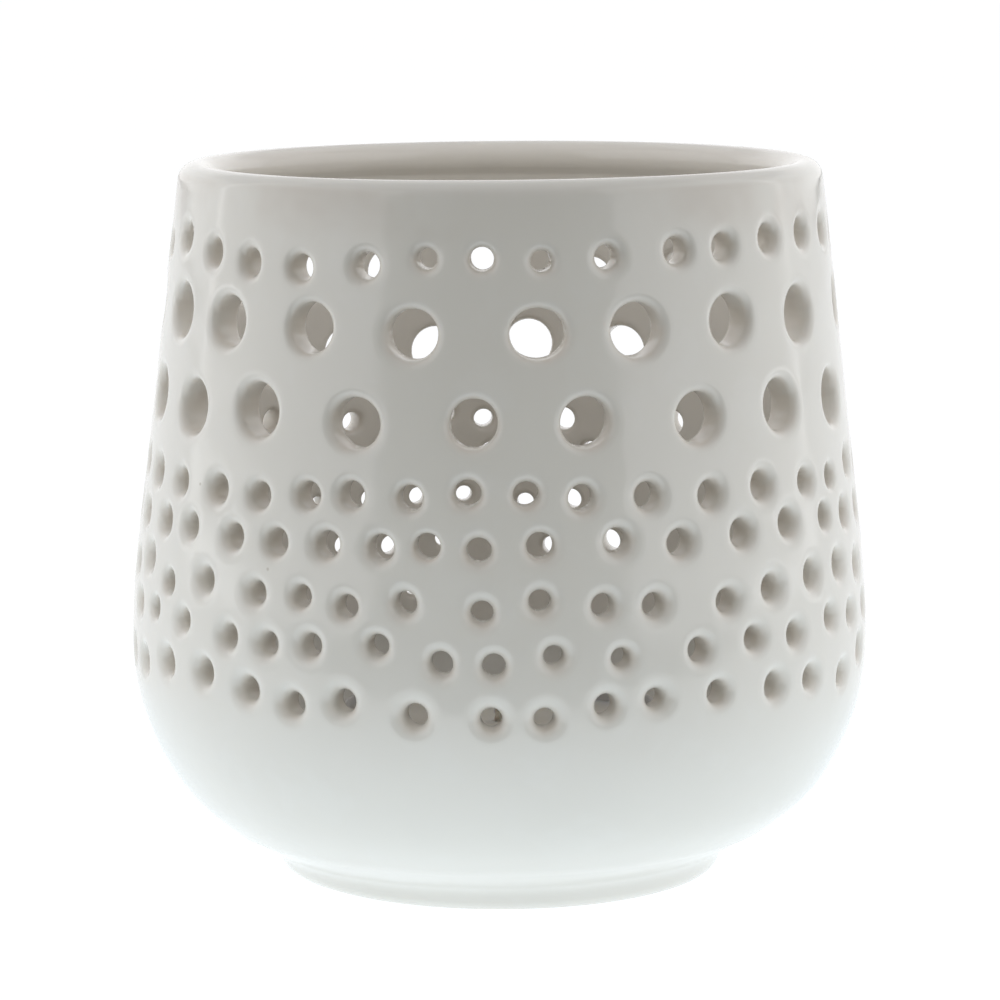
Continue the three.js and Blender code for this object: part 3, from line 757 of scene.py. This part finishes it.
def aluminium():
    m, nt, b = material("pressed_aluminium")
    p = object_space(nt, (1, 1, 0.12))
    streak = noise(nt, p, 900, 4, 0.6)
    blot = noise(nt, object_space(nt), 160, 3)
    nt.links.new(mix(nt, ramp(nt, blot, 0.3, 0.75), (0.72, 0.72, 0.73, 1), (0.58, 0.58, 0.59, 1)), b.inputs["Base Color"])
    b.inputs["Metallic"].default_value = 1.0
    nt.links.new(ramp(nt, streak, 0.25, 0.75, 0.42, 0.60), b.inputs["Roughness"])
    b.inputs["Anisotropic"].default_value = 0.35
    n = bump(nt, streak, 0.10, 0.00005)
    n = bump(nt, noise(nt, object_space(nt), 260, 2), 0.15, 0.0002, n)
    nt.links.new(n, b.inputs["Normal"])
    return m


def wax():
    m, nt, b = material("paraffin_wax")
    p = object_space(nt)
    bloom = noise(nt, p, 300, 5, 0.62, 0.6)
    slow = noise(nt, p, 90, 2)
    base = mix(nt, ramp(nt, slow, 0.3, 0.7), (0.73, 0.71, 0.65, 1), (0.68, 0.66, 0.60, 1))
    base = mix(nt, ramp(nt, bloom, 0.5, 0.8, 0, 0.5), base, (0.79, 0.78, 0.74, 1))
    nt.links.new(base, b.inputs["Base Color"])
    nt.links.new(ramp(nt, bloom, 0.3, 0.8, 0.34, 0.55), b.inputs["Roughness"])
    b.inputs["IOR"].default_value = 1.44
    b.inputs["Subsurface Weight"].default_value = 0.5
    b.inputs["Subsurface Radius"].default_value = (1.0, 0.85, 0.6)
    b.inputs["Subsurface Scale"].default_value = 0.003
    n = bump(nt, noise(nt, p, 1500, 3), 0.12, 0.00005)
    n = bump(nt, noise(nt, p, 170, 2), 0.25, 0.0004, n)
    nt.links.new(n, b.inputs["Normal"])
    return m


def tinplate():
    m, nt, b = material("tinplate")
    p = object_space(nt, (0.15, 1, 1))
    grain = noise(nt, p, 2600, 3)
    nt.links.new(mix(nt, ramp(nt, noise(nt, object_space(nt), 500, 2), 0.3, 0.7), (0.62, 0.62, 0.61, 1), (0.5, 0.5, 0.49, 1)),
                 b.inputs["Base Color"])
    b.inputs["Metallic"].default_value = 1.0
    nt.links.new(ramp(nt, grain, 0.3, 0.7, 0.22, 0.38), b.inputs["Roughness"])
    nt.links.new(bump(nt, grain, 0.2, 0.00004), b.inputs["Normal"])
    return m


def cotton():
    m, nt, b = material("waxed_cotton")
    p = object_space(nt, (1, 1, 0.35))
    fibre = noise(nt, p, 5200, 4, 0.65, 0.3)
    base = mix(nt, ramp(nt, fibre, 0.3, 0.7), (0.58, 0.53, 0.44, 1), (0.80, 0.77, 0.69, 1))
    nt.links.new(base, b.inputs["Base Color"])
    nt.links.new(ramp(nt, fibre, 0.2, 0.8, 0.55, 0.85), b.inputs["Roughness"])
    b.inputs["Sheen Weight"].default_value = 0.4
    b.inputs["Subsurface Weight"].default_value = 0.15
    b.inputs["Subsurface Scale"].default_value = 0.0006
    nt.links.new(bump(nt, fibre, 0.6, 0.0001), b.inputs["Normal"])
    return m


GLAZE_A = (0.785, 0.777, 0.737, 1)
GLAZE_B = (0.766, 0.758, 0.718, 1)
GLAZE_POOL = (0.792, 0.789, 0.757, 1)
GLAZE_THIN = (0.765, 0.722, 0.662, 1)
RIM_TONE_AND_SHADE = (0.690, 0.658, 0.610, 1)
INSIDE_PAINTED_LIGHT = (0.857, 0.828, 0.778, 1)


# ---------------------------------------------------------------------------------------------------------- pieces
co, faces, lip, bare, rim_tone_and_shade, inside = vessel()
pot = new_mesh("ceramic_vessel", co, faces, (("lip", lip), ("bare", bare), ("rim_tone_and_shade", rim_tone_and_shade), ("inside", inside)))
pieces = [
    (pot, "holder", "holder_shell", "white_glaze", white_glaze()),
    (pressed_cup(), "tealight", "tealight_cup", "aluminium", aluminium()),
    (wax_fill(), "tealight", "tealight_wax", "wax", wax()),
    (sustainer(), "tealight", "wick_sustainer", "tinplate", tinplate()),
    (braided_wick(), "tealight", "wick", "cotton", cotton()),
]
for piece, body, cad_node, slot, mat in pieces:
    piece.data.materials.append(mat)
    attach(piece, body)
    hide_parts(cad_node)

# ------------------------------------------------------------------------------------- floor, light and camera
# A white product table lit from within, a softbox on each side from 39 to 115 degrees off the view, a white cove behind
# and a dimmer ceiling; only the gap round the camera is dark.
SIDE_LIGHT = (1.045, 1.03, 1.02)
CEILING = (0.55, 0.55, 0.57, 1)
COVE_LOW = (1.22, 1.22, 1.22, 1)
COVE_HIGH = (0.81, 0.80, 0.81, 1)
GAP_LOW = (0.25, 0.25, 0.20, 1)
GAP_HIGH = (0.44, 0.425, 0.41, 1)

me = bpy.data.meshes.new("floor")
me.from_pydata([(-4, -0.135, 0), (4, -0.135, 0), (4, 4, 0), (-4, 4, 0)], [], [(0, 1, 2, 3)])
floor = bpy.data.objects.new("floor", me)
scene.collection.objects.link(floor)
m, nt, b = material("pale_floor")
b.inputs["Base Color"].default_value = (0.08, 0.08, 0.08, 1)
b.inputs["Roughness"].default_value = 0.9
b.inputs["Specular IOR Level"].default_value = 0.0
# the table glows most under the object
spot = node(nt, "ShaderNodeVectorMath", operation="LENGTH")
nt.links.new(node(nt, "ShaderNodeTexCoord").outputs["Object"], spot.inputs[0])
glow = mix(nt, ramp(nt, spot.outputs["Value"], 0.028, 0.060), (1.00, 1.06, 1.09, 1), (0.990, 1.075, 1.125, 1))
nt.links.new(mix(nt, ramp(nt, spot.outputs["Value"], 0.06, 0.16), glow, (0.965, 0.975, 0.985, 1)), b.inputs["Emission Color"])
b.inputs["Emission Strength"].default_value = 1.0
me.materials.append(m)


def softbox(name, where, facing, width, height, tint):
    light = bpy.data.lights.new(name, "AREA")
    light.shape = "RECTANGLE"
    light.size, light.size_y = width, height
    light.energy = math.pi * width * height
    light.color = tint
    o = bpy.data.objects.new(name, light)
    o.location = where
    o.rotation_euler = Vector(facing).to_track_quat("-Z", "Y").to_euler()
    o.visible_camera = False
    scene.collection.objects.link(o)


for side in (-1, 1):
    near = np.array([side * 0.62 * math.sin(math.radians(39)), -0.62 * math.cos(math.radians(39))])
    far = np.array([side * 0.66 * math.sin(math.radians(115)), -0.66 * math.cos(math.radians(115))])
    mid, width = (near + far) / 2, float(np.hypot(*(far - near)))
    facing = np.array([-(far - near)[1], (far - near)[0]]) / width
    if facing.dot(mid) > 0:
        facing = -facing
    softbox("softbox_left" if side < 0 else "softbox_right", (mid[0], mid[1], 0.40), (facing[0], facing[1], 0), width, 0.78, SIDE_LIGHT)

world = bpy.data.worlds.new("studio")
scene.world = world
world.use_nodes = True
nt = world.node_tree
nt.nodes.clear()
out = nt.nodes.new("ShaderNodeOutputWorld")
seen = nt.nodes.new("ShaderNodeBackground")
seen.inputs[0].default_value = (1, 1, 1, 1)
seen.inputs[1].default_value = 1.05
lit = nt.nodes.new("ShaderNodeBackground")
sep = node(nt, "ShaderNodeSeparateXYZ")
nt.links.new(node(nt, "ShaderNodeTexCoord").outputs["Generated"], sep.inputs[0])
x, y, z = sep.outputs
# how far round from the front: 1 at the front, -1 behind
level = math_(nt, "SQRT", math_(nt, "ADD", math_(nt, "MULTIPLY", x, x), math_(nt, "MULTIPLY", y, y)))
turn = math_(nt, "DIVIDE", math_(nt, "MULTIPLY", y, -1.0), math_(nt, "MAXIMUM", level, 0.001))
behind = ramp(nt, turn, -0.36, -0.48)
cove = mix(nt, ramp(nt, z, 0.40, 0.50), COVE_LOW, COVE_HIGH)
gap = mix(nt, ramp(nt, z, 0.15, 0.60), GAP_LOW, GAP_HIGH)
light = mix(nt, ramp(nt, turn, 0.777, 0.765), gap, (0, 0, 0, 1))     # behind the softboxes nothing more
light = mix(nt, behind, light, cove)
light = mix(nt, ramp(nt, z, 0.78, 0.86), light, CEILING)
light = mix(nt, ramp(nt, z, -0.015, 0.0), (0, 0, 0, 1), light)
nt.links.new(light, lit.inputs[0])
path = nt.nodes.new("ShaderNodeLightPath")
blend = nt.nodes.new("ShaderNodeMixShader")
nt.links.new(path.outputs["Is Camera Ray"], blend.inputs[0])
nt.links.new(lit.outputs[0], blend.inputs[1])
nt.links.new(seen.outputs[0], blend.inputs[2])
nt.links.new(blend.outputs[0], out.inputs[0])

cam = bpy.data.cameras.new("camera")
cam.sensor_width = 36
cam.lens = 149.34
cam.clip_start = 0.01
camera = bpy.data.objects.new("camera", cam)
camera.location = (0, -0.5035, 0.1194)
camera.rotation_euler = (Vector((0, 0, 0.04506)) - camera.location).to_track_quat("-Z", "Y").to_euler()
scene.collection.objects.link(camera)
scene.camera = camera
scene.view_settings.view_transform = "Standard"
scene.view_settings.look = "None"
